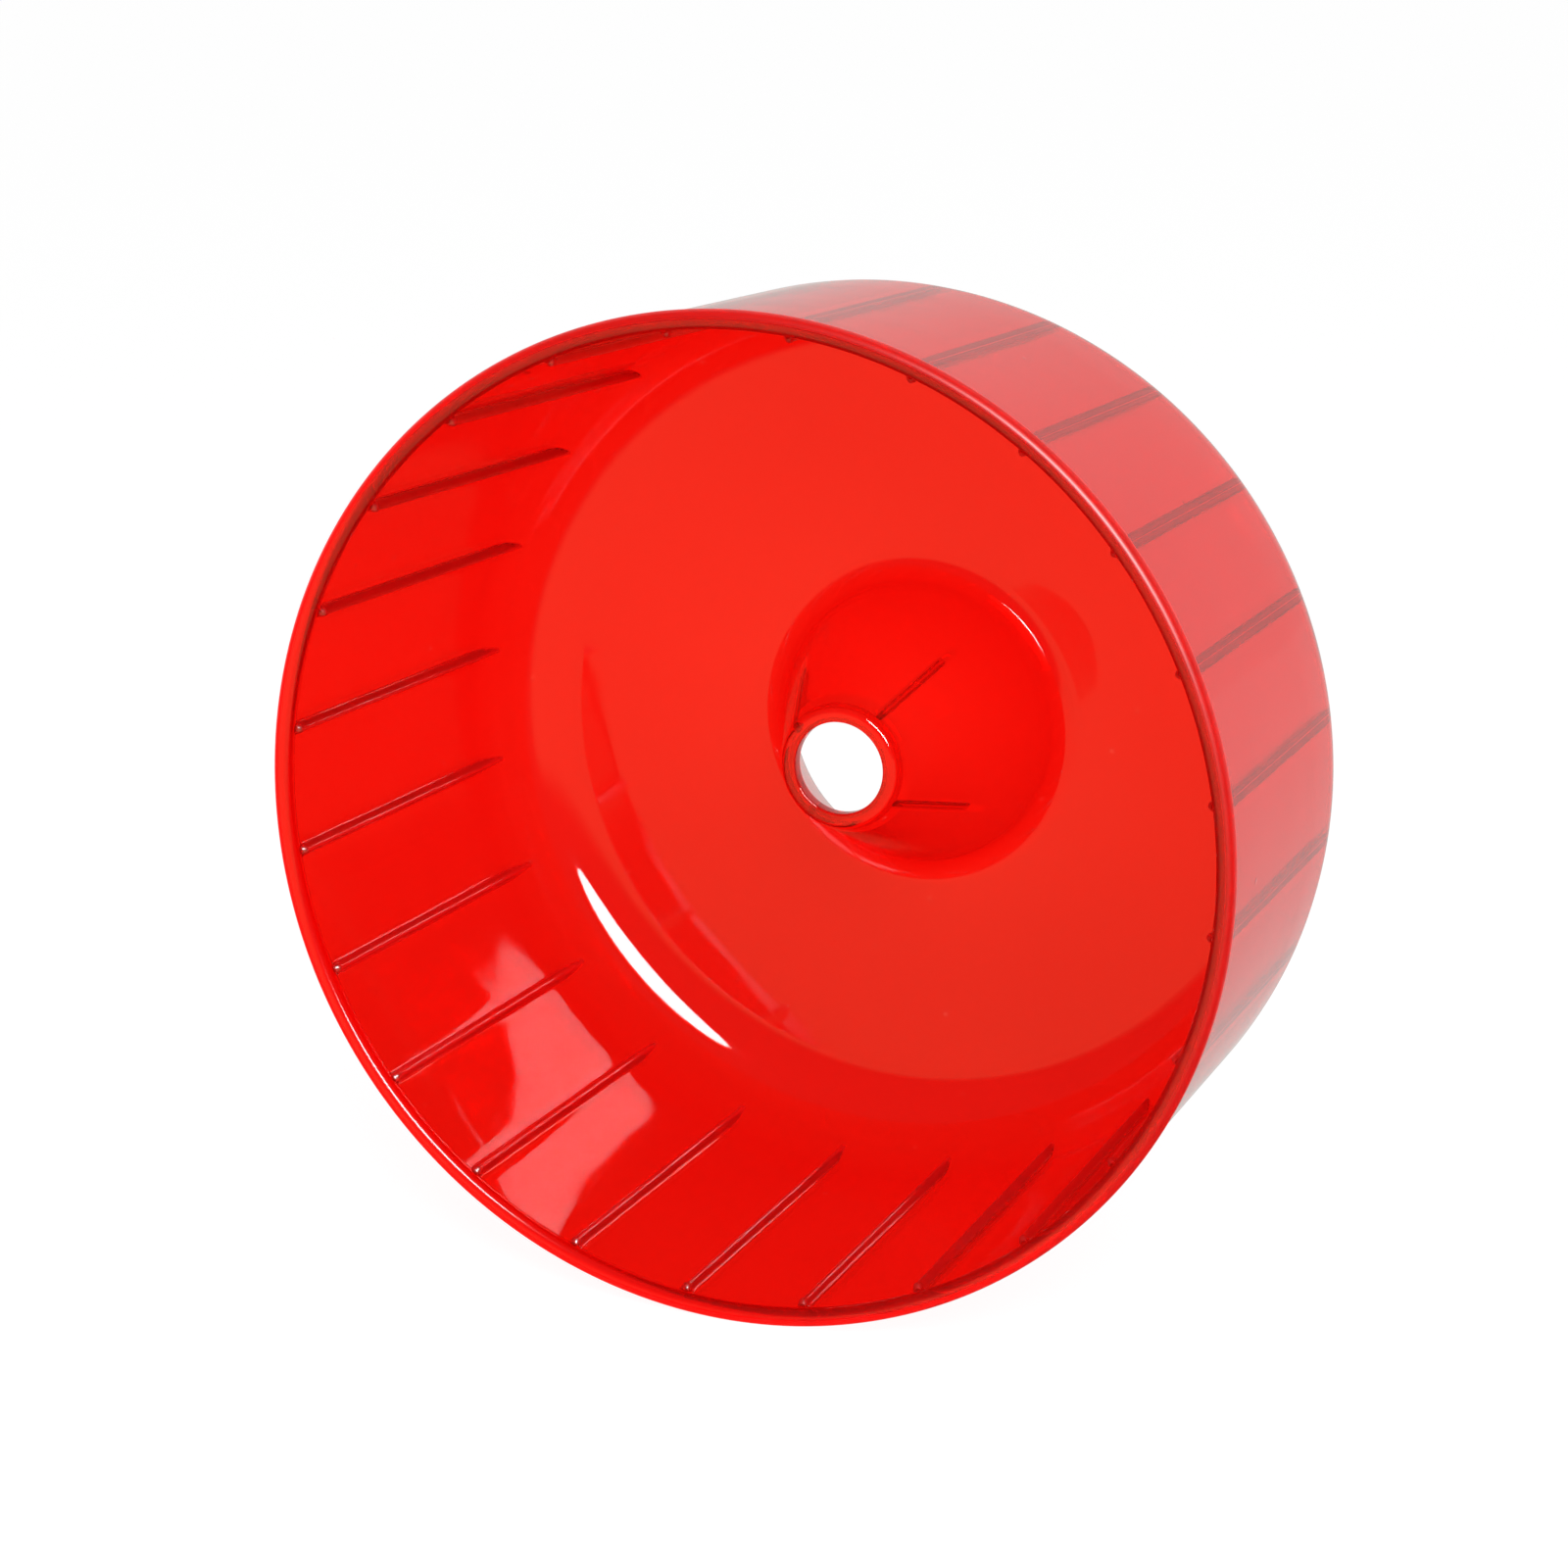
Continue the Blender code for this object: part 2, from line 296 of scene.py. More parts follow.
bar_pitch = math.tau / BAR_COUNT
bar_group = np.arcsin(BAR_SPREAD * np.linspace(-1.0, 1.0, BAR_COLUMNS) / WALL_BACK_RADIUS)
gap = np.linspace(bar_group[-1], 0.5 * bar_pitch, GAP_COLUMNS + 2)[1:]
one_pitch = np.concatenate([-gap[:-1][::-1], bar_group, gap])
bar_middles = (np.arange(BAR_COUNT)[:, None] + 0.5) * bar_pitch
bar_columns = (bar_middles + one_pitch[None, :]).ravel()
COLUMNS = len(bar_columns)
print(COLUMNS, "columns")

# %% Columns gathered on the ribs
RIB_COUNT = 4
RIB_TURN = math.radians(9.5)
RIB_SPREAD = 0.0008
RIB_COLUMN_SHARES = np.array([0.0, 0.125, 0.25, 0.3875, 0.5375, 0.725, 1.0])

per_rib = COLUMNS // RIB_COUNT


def rib_columns(radius):
    """Column angles in the hub: a group across each rib, and even steps from rib to rib."""
    group = np.arcsin(RIB_SPREAD * RIB_COLUMN_SHARES / radius)
    half = np.interp(np.arange(per_rib // 2 + 1),
                     np.r_[np.arange(len(group)), per_rib // 2],
                     np.r_[group, math.pi / RIB_COUNT])
    steps = np.concatenate([-half[1:-1][::-1], half])
    centres = (np.arange(RIB_COUNT) + 0.5) * math.tau / RIB_COUNT
    return (centres[:, None] + steps[None, :]).ravel()


# %% The slide from one to the other
# The column on a rib's middle is the column between two bars, so both lists start alike
first_column = COLUMNS // BAR_COUNT * (BAR_COUNT // (2 * RIB_COUNT)) - per_rib // 2
bar_columns = np.unwrap(np.roll(bar_columns, -first_column))
HUB_PARTS = ["foot", "cone", "nose", "face", "bore_in", "bore", "bore_out", "collar",
             "rib_run", "rib_tip", "cone_back", "mouth"]
slide = np.isin(part_of_row, HUB_PARTS).astype(float)
# The share eases in and out: its square, times three less twice the share
for name, start, end in (("plate_in", 0.0, 1.0), ("plate_out", 1.0, 0.0)):
    rows = part_of_row == name
    share = (np.arange(rows.sum()) + 1.0) / (rows.sum() + 1.0)
    slide[rows] = start + (end - start) * share * share * (3.0 - 2.0 * share)
print(int((slide > 0.0).sum()), "rows slide towards the ribs")

# %% [markdown]
# ## Bars, balls and ribs as heights on the grid
#
# A running bar is a low ridge with a round top and a soft foot, so its height over the wall is
# a bell: full at its middle, half a little way out, and nothing at its edges. The radius of
# the surface is the smaller of its own radius and that of the bar, which also ends the bar in a
# point where the corner's fillet rises over it, as the real mould does. The small balls at the
# bars' front ends and the ribs in the hub are heights in the same way. A Boolean would give the
# same ridges, but with long thin triangles that make clear plastic look broken. The heights
# also give a mask. It makes raised places duller, and it paints them a deeper red: painted
# shade, for the darker light that thick bars and ribs bend in from the room.

# %% Sizes of the bars, balls and ribs, and the bell
BAR_HALF_WIDTH = 0.00062
BAR_HEIGHT = 0.0012
BALL_HEIGHT = 0.0013
RIB_HALF_WIDTH = 0.00042
RIB_HEIGHT = 0.0005
BELL_POWER = 2.6

print("bars", BAR_HEIGHT, "m high, ribs", RIB_HEIGHT, "m high")


def bell(u):
    """The section of a bar, with a round top and a soft foot: e to the power of minus the
    size of u, which is itself raised to BELL_POWER."""
    return np.exp(-np.abs(u) ** BELL_POWER)


# %% The bars and balls on the wall
def with_bars(radius, depth, angle):
    """The wall's radius less the height of its bars and balls. A bar is a bell across, and
    its front end is a quarter circle. A ball is the upper half of an ellipsoid."""
    to_bar = (angle / bar_pitch - 0.5) - np.round(angle / bar_pitch - 0.5)
    u = radius * np.sin(to_bar * bar_pitch)
    on_wall = np.isin(part_of_row, ["ball", "wall_in", "corner_in"])
    inner_bead = (part_of_row == "bead") & (section.real < bead_centre.real)
    before_ball = np.clip((ball_depth - depth) / BALL_RADIUS, 0.0, 1.0)
    bar = BAR_HEIGHT * bell(u / BAR_HALF_WIDTH) * np.sqrt(1.0 - before_ball ** 2)
    wall = radius_at(inside[0], inside[1], depth)
    radius = np.where(on_wall[:, None], np.minimum(radius, wall - bar), radius)
    rise = np.clip(1.0 - (u ** 2 + (depth - ball_depth) ** 2) / BALL_RADIUS ** 2, 0.0, 1.0)
    ball = radius_at(inside[0], inside[1], ball_depth) - BALL_HEIGHT * np.sqrt(rise)
    on_ball = (on_wall | inner_bead)[:, None] & (rise > 0.0)
    return np.where(on_ball, np.minimum(radius, ball), radius)


# %% The ribs in the hub
def rib_heights(radius, depth, angle):
    """The height of the ribs as a share: a bell across, and a quarter circle at the end."""
    to_rib = ((angle - slide[:, None] * RIB_TURN) / (math.tau / RIB_COUNT) - 0.5)
    to_rib = (to_rib - np.round(to_rib)) * math.tau / RIB_COUNT
    left = np.clip((rib_end - depth) / RIB_END_TAPER, 0.0, 1.0)
    height = bell(radius * np.sin(to_rib) / RIB_HALF_WIDTH) * np.sqrt(1.0 - (1.0 - left) ** 2)
    return np.where(np.isin(part_of_row, ["rib_run", "rib_tip"])[:, None], height, 0.0)


# %% The closed surface as one function of row and column
MASK_SHARE = 0.12
# Painted shade: the ring at the hub's mouth gets a share of the raised mask, so a soft dark ring
# is painted where the rounded mouth bends light; the mask also makes the ring duller
MOUTH_PAINTED_SHADE_SHARE = 0.30
MOUTH_ROWS = 2.0


def wheel_points():
    """Every point of the wheel: the section's radius and depth turned about the axle,
    less the height of bars and balls on the wall, and moved off the cone by the ribs.
    With them comes a mask that is 1 on bars, balls and ribs, less on the ring at the
    mouth of the hub, and 0 elsewhere."""
    plain = np.repeat(section.real[:, None], COLUMNS, 1)
    depth = np.repeat(section.imag[:, None], COLUMNS, 1)
    hub_angles = np.array([rib_columns(max(r, BORE_RADIUS)) for r in section.real]) + RIB_TURN
    angle = (1.0 - slide[:, None]) * bar_columns[None, :] + slide[:, None] * hub_angles
    radius = with_bars(plain, depth, angle)
    rib = rib_heights(radius, depth, angle)
    raised = np.clip(np.maximum((plain - radius) / BAR_HEIGHT, rib) / MASK_SHARE, 0.0, 1.0)
    # Painted shade on the ring at the mouth of the hub, by way of the raised mask
    past_mouth = np.arange(len(section)) - np.argmax(part_of_row == "mouth") - 1.0
    raised = np.maximum(raised, MOUTH_PAINTED_SHADE_SHARE * bell(past_mouth / MOUTH_ROWS)[:, None])
    off_cone = -1j * unit(outside[3] - outside[2])
    radius = radius + RIB_HEIGHT * rib * off_cone.real
    depth = depth + RIB_HEIGHT * rib * off_cone.imag
    places = [radius * np.cos(angle), depth - origin_depth, radius * np.sin(angle)]
    return np.stack(places, -1), raised


# %% [markdown]
# ## From the grid to a mesh
#
# A grid that closes on itself in both directions has one quad for each point. The volume
# inside is summed from the quads: if it comes out negative, the faces point inwards and
# their order is turned round. Three masks go on the mesh as attributes: the raised places,
# the rim bead, and the lit edge, which is strongest on the outer half of the bead, where
# light comes out of the plastic.

# %% Build the mesh
def closed_grid(name, points):
    """A mesh of quads from a grid of points whose last row and column join the first. Its
    volume is a sixth of the sum of the boxes that the corners of its triangles span."""
    rows, columns = points.shape[:2]
    index = np.arange(rows * columns).reshape(rows, columns)
    right, below = np.roll(index, -1, 1), np.roll(index, -1, 0)
    quads = np.stack([index, below, np.roll(below, -1, 1), right], -1).reshape(-1, 4)
    flat = points.reshape(-1, 3)
    a, b, c, d = (flat[quads[:, k]] for k in range(4))
    twice = np.einsum("ij,ij->i", a, np.cross(b, c)) + np.einsum("ij,ij->i", a, np.cross(c, d))
    volume = twice.sum() / 6.0
    if volume < 0.0:
        quads = quads[:, ::-1]
    mesh = bpy.data.meshes.new(name)
    mesh.from_pydata(flat.tolist(), [], quads.tolist())
    mesh.polygons.foreach_set("use_smooth", np.ones(len(quads), bool))
    mesh.update()
    print(name, 2 * len(quads), "triangles,", round(abs(volume) * 1e6, 2), "cubic centimetres")
    piece = bpy.data.objects.new(name, mesh)
    bpy.context.scene.collection.objects.link(piece)
    return piece


points, raised = wheel_points()
wheel = closed_grid("clear_red_wheel", points)

# %% Masks on the mesh
# The lit edge fades in across the bead, between two shares of its radius from its middle
EDGE_GLOW_INSIDE = 0.28
EDGE_FADE = [-0.6, 0.5]

on_bead = np.repeat((part_of_row == "bead")[:, None], COLUMNS, 1).astype(float)
bead_side = np.clip((section.real - bead_centre.real) / BEAD_RADIUS, -1.0, 1.0)
lit_edge = on_bead * np.interp(bead_side, EDGE_FADE, [EDGE_GLOW_INSIDE, 1.0])[:, None]
for name, mask in (("raised", raised), ("rim", on_bead), ("lit_edge", lit_edge)):
    wheel.data.attributes.new(name, "FLOAT", "POINT").data.foreach_set("value", mask.ravel())
    print(name, "covers", int(mask.sum()), "points")

# %% [markdown]
# ## Clear red plastic
#
# Clear coloured plastic lets light in through its surface and colours it on its way through.
# The surface colour tints each passage a little, and a volume that absorbs green and blue
# does the rest, so thick places such as the rim and the nose come out deeper.
#
# First comes the surface itself, as a group of nodes that gives only values. A moulding is
# never quite flat: it has slow waves where it shrank, a very fine grain, fine rings from
# the turning of its mould, and a few specks of dust under the surface. The rings are a noise
# of the distance from the axle, so they go round as a lathe's do. An image could hold all
# this, but a pattern worked out from the place on the wheel needs no unwrapping.

# %% Helpers for nodes


def new_node(tree, kind, inputs=None, **settings):
    """A node of that kind with its settings. An input given as a socket is linked to it,
    and any other value is written into the input."""
    node = tree.nodes.new("ShaderNode" + kind)
    for name, value in settings.items():
        setattr(node, name, value)
    for name, value in (inputs or {}).items():
        if isinstance(value, bpy.types.NodeSocket):
            tree.links.new(value, node.inputs[name])
        else:
            node.inputs[name].default_value = value
    return node


def new_group(name, inputs, outputs):
    """An empty group of shader nodes with those inputs and outputs, and its two end nodes."""
    group = bpy.data.node_groups.new(name, "ShaderNodeTree")
    for way, sockets in (("INPUT", inputs), ("OUTPUT", outputs)):
        for label, kind in sockets.items():
            group.interface.new_socket(label, in_out=way, socket_type="NodeSocket" + kind)
    return group, group.nodes.new("NodeGroupInput"), group.nodes.new("NodeGroupOutput")


# %% The moulded surface as a node group: where a point lies, and what goes round the axle
moulded_surface, surface_in, surface_out = new_group(
    "moulded_surface", {"Position": "Vector"},
    {name: "Float" for name in ("Cloud", "Turning", "Speck", "Height")})
# The pattern also changes a little from left to right, so that no ring is quite even
NEARLY_ROUND = 0.02


def noise(vector, scale, detail):
    """A noise pattern of that scale on a vector; puts out its value, about 0.3 to 0.7."""
    inputs = {"Vector": vector, "Scale": scale, "Detail": detail}
    return new_node(moulded_surface, "TexNoise", inputs).outputs["Fac"]


def times(value, factor, plus=0.0):
    """A value times a number, plus another value."""
    inputs = {0: value, 1: factor, 2: plus}
    return new_node(moulded_surface, "Math", inputs, operation="MULTIPLY_ADD").outputs["Value"]


where = surface_in.outputs["Position"]
parts = new_node(moulded_surface, "SeparateXYZ", {"Vector": where}).outputs
flat = new_node(moulded_surface, "CombineXYZ", {"X": parts["X"], "Z": parts["Z"]})
from_axle = new_node(moulded_surface, "VectorMath", {0: flat.outputs["Vector"]},
                     operation="LENGTH").outputs["Value"]
round_axle = new_node(moulded_surface, "CombineXYZ", {
    "X": from_axle, "Y": parts["Y"], "Z": times(parts["X"], NEARLY_ROUND)}).outputs["Vector"]

# %% The moulded surface: clouds, turning marks and specks
CLOUD_SCALE, CLOUD_LOW, CLOUD_HIGH = 16.0, 0.35, 0.65
TURN_SCALE, TURN_LOW, TURN_HIGH = 900.0, 0.35, 0.75
SPECK_SCALE, SPECK_SIZE = 75.0, 0.045
FINE_DETAIL = 2.0

cloud = new_node(moulded_surface, "MapRange", {
    "Value": noise(where, CLOUD_SCALE, FINE_DETAIL),
    "From Min": CLOUD_LOW, "From Max": CLOUD_HIGH})
turn_marks = noise(round_axle, TURN_SCALE, FINE_DETAIL)
turning = new_node(moulded_surface, "MapRange", {
    "Value": turn_marks, "From Min": TURN_LOW, "From Max": TURN_HIGH})
cells = new_node(moulded_surface, "TexVoronoi", {"Vector": where, "Scale": SPECK_SCALE},
                 feature="F1")
speck = new_node(moulded_surface, "MapRange", {
    "Value": cells.outputs["Distance"], "From Max": SPECK_SIZE, "To Min": 1.0, "To Max": 0.0},
    interpolation_type="SMOOTHSTEP").outputs["Result"]

# %% The moulded surface: its height, and what the group puts out
WAVE_SCALE, WAVE_HEIGHT = 55.0, 0.000060
PEEL_SCALE, PEEL_HEIGHT = 700.0, 0.0000006
TURN_HEIGHT = 0.0000016
SPECK_HEIGHT = 0.000030
PLAIN_DETAIL = 1.0

height = times(noise(where, WAVE_SCALE, PLAIN_DETAIL), WAVE_HEIGHT)
height = times(noise(where, PEEL_SCALE, PLAIN_DETAIL), PEEL_HEIGHT, height)
height = times(turn_marks, TURN_HEIGHT, height)
height = times(speck, SPECK_HEIGHT, height)
for name, socket in (("Cloud", cloud.outputs["Result"]), ("Turning", turning.outputs["Result"]),
                     ("Speck", speck), ("Height", height)):
    moulded_surface.links.new(socket, surface_out.inputs[name])
print("the surface group has", len(moulded_surface.nodes), "nodes")

# %% [markdown]
# ### The plastic's own settings
#
# The masks of the mesh lead to three finishes. The plain wall is clear and smooth. Bars, ribs
# and the ring at the hub's mouth are duller, with a thin smooth coat for the bright line on
# each ridge, and painted a deeper red: painted shade, for the darker light that they bend in.
# The rim is rubbed dull on its outside. Its inside is painted dark: painted shade, for the dark
# room that the thick inner side of the bead bends and mirrors. Its outside also glows a little:
# clear plastic guides light along the wall as a glass fibre does, and lets it out at the edge.
# A path tracer follows such guided light only in part, so a small red emission, a painted glow,
# stands for the rest.

# %% The plastic: what is the same everywhere
DEEP_COLOUR = (0.998, 0.100, 0.060, 1.0)
ABSORPTION_DENSITY = 1500.0
PLASTIC_IOR = 1.49
CLEAR_SHARE = 0.94
COAT_ROUGHNESS = 0.08

plastic = bpy.data.materials.new("clear_red_plastic")
plastic.use_nodes = True
plastic_tree = plastic.node_tree
shader = plastic_tree.nodes["Principled BSDF"]
for name, value in (("IOR", PLASTIC_IOR), ("Transmission Weight", CLEAR_SHARE),
                    ("Coat Roughness", COAT_ROUGHNESS), ("Coat IOR", PLASTIC_IOR),
                    ("Emission Strength", 1.0)):
    shader.inputs[name].default_value = value
absorbed = new_node(plastic_tree, "VolumeAbsorption", {
    "Color": DEEP_COLOUR, "Density": ABSORPTION_DENSITY}).outputs["Volume"]
plastic_tree.links.new(absorbed, plastic_tree.nodes["Material Output"].inputs["Volume"])

# %% The plastic: the surface group and the masks of the mesh
spot = new_node(plastic_tree, "TexCoord").outputs["Object"]
surface = new_node(plastic_tree, "Group", {"Position": spot}, node_tree=moulded_surface).outputs
on_raised, on_rim, at_edge = (
    new_node(plastic_tree, "Attribute", attribute_name=name).outputs["Fac"]
    for name in ("raised", "rim", "lit_edge"))


def laid_over(below, colour, share):
    """A colour with another one laid over it by the share of a mask."""
    inputs = {"Factor": share, "A": below, "B": colour}
    return new_node(plastic_tree, "Mix", inputs, data_type="RGBA").outputs["Result"]


def between(low, high, share):
    """A number that goes from low to high with the share of a mask."""
    inputs = {"Value": share, "To Min": low, "To Max": high}
    return new_node(plastic_tree, "MapRange", inputs).outputs["Result"]


# %% The plastic: colours
THIN_COLOUR = (0.955, 0.045, 0.022, 1.0)
CLOUD_COLOUR = (0.925, 0.034, 0.017, 1.0)
SPECK_COLOUR = (1.0, 0.55, 0.48, 1.0)
# Painted shade on raised places: a deeper red for the darker light that bars and ribs bend in
RAISED_PAINTED_SHADE = (0.70, 0.012, 0.008, 1.0)
# Painted shade: the bead's inner side is painted dark for the dark room it bends and mirrors
BEAD_INSIDE_PAINTED_SHADE = (0.30, 0.003, 0.002, 1.0)
RIM_COLOUR = (0.93, 0.008, 0.005, 1.0)
UNLIT = (0.0, 0.0, 0.0, 1.0)
# Painted glow: a small red emission on the rim's outer edge, for light the wall guides out there
EDGE_GLOW = (0.28, 0.002, 0.001, 1.0)

tint = laid_over(THIN_COLOUR, CLOUD_COLOUR, surface["Cloud"])
tint = laid_over(tint, SPECK_COLOUR, surface["Speck"])
# Painted shade on the bead's inner side, where the lit edge mask is low
tint = laid_over(tint, laid_over(BEAD_INSIDE_PAINTED_SHADE, RIM_COLOUR, at_edge), on_rim)
# Painted shade: bars, ribs and the ring at the hub's mouth get the deeper red by the raised mask
tint = laid_over(tint, RAISED_PAINTED_SHADE, on_raised)
plastic_tree.links.new(tint, shader.inputs["Base Color"])
# Painted glow on the outer half of the bead, by the lit edge mask
plastic_tree.links.new(laid_over(UNLIT, EDGE_GLOW, at_edge), shader.inputs["Emission Color"])

# %% The plastic: gloss and relief
PLASTIC_ROUGHNESS = 0.03
HANDLED_ROUGHNESS = 0.055
RIM_ROUGHNESS = 0.34
RAISED_ROUGHNESS = 0.36

blur = between(PLASTIC_ROUGHNESS, HANDLED_ROUGHNESS, surface["Turning"])
blur = between(blur, RIM_ROUGHNESS, at_edge)
blur = between(blur, RAISED_ROUGHNESS, on_raised)
relief = new_node(plastic_tree, "Bump", {
    "Strength": 1.0, "Distance": 1.0, "Height": surface["Height"]})
plastic_tree.links.new(blur, shader.inputs["Roughness"])
plastic_tree.links.new(relief.outputs["Normal"], shader.inputs["Normal"])
plastic_tree.links.new(on_raised, shader.inputs["Coat Weight"])
print("the plastic has", len(plastic_tree.nodes), "nodes")

# %% The wheel in its plastic
wheel.data.materials.append(plastic)
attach(wheel, "root")
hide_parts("wheel")
print(wheel.name, "stands for the CAD node wheel")

# %% [markdown]
# ## The room that the plastic mirrors
#
# Clear plastic shows its shape mostly through what it reflects. In the photograph the white
# table lies behind the wheel, the room beside it is dark, and something warm and pale lies in
# front of it, below the middle. One node group gives that glow for any direction, so that the
# floor and the world agree. It reads only a direction, and puts out a colour.

# %% The room's glow as a node group
BACK_GLOW = (0.64, 0.63, 0.61, 1.0)
SIDE_GLOW = (0.08, 0.07, 0.06, 1.0)
FRONT_GLOW = (0.62, 0.46, 0.24, 1.0)
FRONT_END, SIDE_START, SIDE_END, BACK_START = 0.17, 0.23, 0.52, 0.62
LEVEL_BLUR = 0.06

room_glow, glow_in, glow_out = new_group(
    "room_glow", {"Direction": "Vector"}, {"Glow": "Color"})
length_one = new_node(room_glow, "VectorMath", {0: glow_in.outputs["Direction"]},
                      operation="NORMALIZE")
axes = new_node(room_glow, "SeparateXYZ", {"Vector": length_one.outputs["Vector"]}).outputs
along = new_node(room_glow, "MapRange", {"Value": axes["Y"], "From Min": -1.0})
ramp = new_node(room_glow, "ValToRGB", {"Fac": along.outputs["Result"]})
stops = ramp.color_ramp.elements
stops[0].position, stops[0].color = FRONT_END, FRONT_GLOW
stops[1].position, stops[1].color = BACK_START, BACK_GLOW
for place in (SIDE_START, SIDE_END):
    stops.new(place).color = SIDE_GLOW

# %% The room's glow: in front it is lit only below the middle
upper = new_node(room_glow, "MapRange", {
    "Value": axes["Z"], "From Min": -LEVEL_BLUR, "From Max": LEVEL_BLUR})
in_front = new_node(room_glow, "Math", {0: axes["Y"], 1: 0.0}, operation="LESS_THAN")
unlit = new_node(room_glow, "Math", {0: upper.outputs["Result"], 1: in_front.outputs["Value"]},
                 operation="MULTIPLY")
half_lit = new_node(room_glow, "Mix", {
    "Factor": unlit.outputs["Value"], "A": ramp.outputs["Color"], "B": SIDE_GLOW},
    data_type="RGBA")
room_glow.links.new(half_lit.outputs["Result"], glow_out.inputs["Glow"])
print("the glow group has", len(room_glow.nodes), "nodes")

# %% [markdown]
# ## Floor and world
#
# The wheel stands on a plain pale floor that runs out of sight. To the camera, and to rays
# that pass through the plastic, floor and world are white; a small share of the floor's own
# diffuse shading stays in, so that it keeps a soft shadow. Seen through the plastic, the floor
# is a little dimmer near the wheel: a painted shadow, for the less light that a real table gets
# there. To rays that the plastic reflects, floor and world are the room's glow.

# %% What both need: the kinds of ray, and the glow in a direction


def ray_masks(tree):
    """Three masks of the ray that arrives: whether it comes straight from the camera,
    whether it comes from there or through the plastic (the larger of the two), and
    whether the plastic mirrored it (the product of reflection and gloss)."""
    path = new_node(tree, "LightPath").outputs
    seen = new_node(tree, "Math", {0: path["Is Camera Ray"], 1: path["Is Transmission Ray"]},
                    operation="MAXIMUM")
    mirrored = new_node(tree, "Math", {0: path["Is Reflection Ray"], 1: path["Is Glossy Ray"]},
                        operation="MULTIPLY")
    return path["Is Camera Ray"], seen.outputs["Value"], mirrored.outputs["Value"]


def glow_towards(tree, direction):
    """The room's glow in that direction."""
    inputs = {"Direction": direction}
    return new_node(tree, "Group", inputs, node_tree=room_glow).outputs["Glow"]


# %% Floor
FLOOR_HALF = 4.0

floor_corners = [(x * FLOOR_HALF, y * FLOOR_HALF, -RIM_RADIUS)
                 for x, y in ((-1, -1), (1, -1), (1, 1), (-1, 1))]
floor_mesh = bpy.data.meshes.new("floor")
floor_mesh.from_pydata(floor_corners, [], [(0, 1, 2, 3)])
floor = bpy.data.objects.new("floor", floor_mesh)
bpy.context.scene.collection.objects.link(floor)
floor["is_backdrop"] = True
print("the floor lies at", -RIM_RADIUS, "m")

# %% The floor's white, with a painted shadow near the wheel where it is seen through the plastic
FLOOR_WHITE = 1.07
PAINTED_SHADOW_LEVEL = 0.75
PAINTED_SHADOW_REACH = 0.45

pale_floor = bpy.data.materials.new("pale_floor")
pale_floor.use_nodes = True
tree = pale_floor.node_tree
to_camera, seen, mirrored = ray_masks(tree)
place = new_node(tree, "TexCoord").outputs["Object"]
near = new_node(tree, "VectorMath", {0: place}, operation="LENGTH")
# Painted shadow: seen through the plastic, the floor's white falls off near the wheel
dim = new_node(tree, "MapRange", {
    "Value": near.outputs["Value"], "From Max": PAINTED_SHADOW_REACH, "To Min": PAINTED_SHADOW_LEVEL},
    interpolation_type="SMOOTHSTEP")
level = new_node(tree, "Math", {0: dim.outputs["Result"], 1: to_camera}, operation="MAXIMUM")
colour = new_node(tree, "Mix", {
    "Factor": mirrored, "A": level.outputs["Value"], "B": glow_towards(tree, place)},
    data_type="RGBA")
bright = new_node(tree, "Emission", {"Color": colour.outputs["Result"], "Strength": FLOOR_WHITE})

# %% The floor's own shading, and how much of it stays in
FLOOR_COLOUR = (0.90, 0.90, 0.90, 1.0)
FLOOR_ROUGHNESS = 0.9
FLOOR_SHADE_SHARE = 0.12

shaded = tree.nodes["Principled BSDF"]
shaded.inputs["Base Color"].default_value = FLOOR_COLOUR
shaded.inputs["Roughness"].default_value = FLOOR_ROUGHNESS
share = new_node(tree, "Math", {0: seen, 1: 1.0 - FLOOR_SHADE_SHARE, 2: mirrored},
                 operation="MULTIPLY_ADD")
blend = new_node(tree, "MixShader", {
    0: share.outputs["Value"], 1: shaded.outputs["BSDF"], 2: bright.outputs["Emission"]})
tree.links.new(blend.outputs["Shader"], tree.nodes["Material Output"].inputs["Surface"])
floor_mesh.materials.append(pale_floor)
print("the floor's material has", len(tree.nodes), "nodes")

# %% World
AMBIENT = (0.45, 0.45, 0.45, 1.0)
WHITE = (1.0, 1.0, 1.0, 1.0)

world = bpy.data.worlds.new("soft_room")
bpy.context.scene.world = world
world.use_nodes = True
tree = world.node_tree
_, seen, mirrored = ray_masks(tree)
direction = new_node(tree, "TexCoord").outputs["Generated"]
shown = new_node(tree, "Mix", {"Factor": seen, "A": AMBIENT, "B": WHITE}, data_type="RGBA")
colour = new_node(tree, "Mix", {
    "Factor": mirrored, "A": shown.outputs["Result"], "B": glow_towards(tree, direction)},
    data_type="RGBA")
tree.links.new(colour.outputs["Result"], tree.nodes["Background"].inputs["Color"])
tree.nodes["Background"].inputs["Strength"].default_value = 1.0
print("the world has", len(tree.nodes), "nodes")

# %% [markdown]
# ## The window
#
# One bright window hangs above the camera, to its right. Its place follows from the mirror
# law: the same window shows as a white streak on the inner corner, as a pale patch on the
# running wall (by way of the wall and then the plate), and as small glints on the hub. The
# streak is thick in its middle and pointed at both ends, so the lamp is an oval.

# %% Light
WINDOW_PLACE = np.array([0.413, -0.766, 0.489])
WINDOW_LONG_WAY = np.array([-0.75, 0.0, 0.66])
WINDOW_WIDTH = 0.67
WINDOW_HEIGHT = 0.33
WINDOW_RADIANCE = 26.0


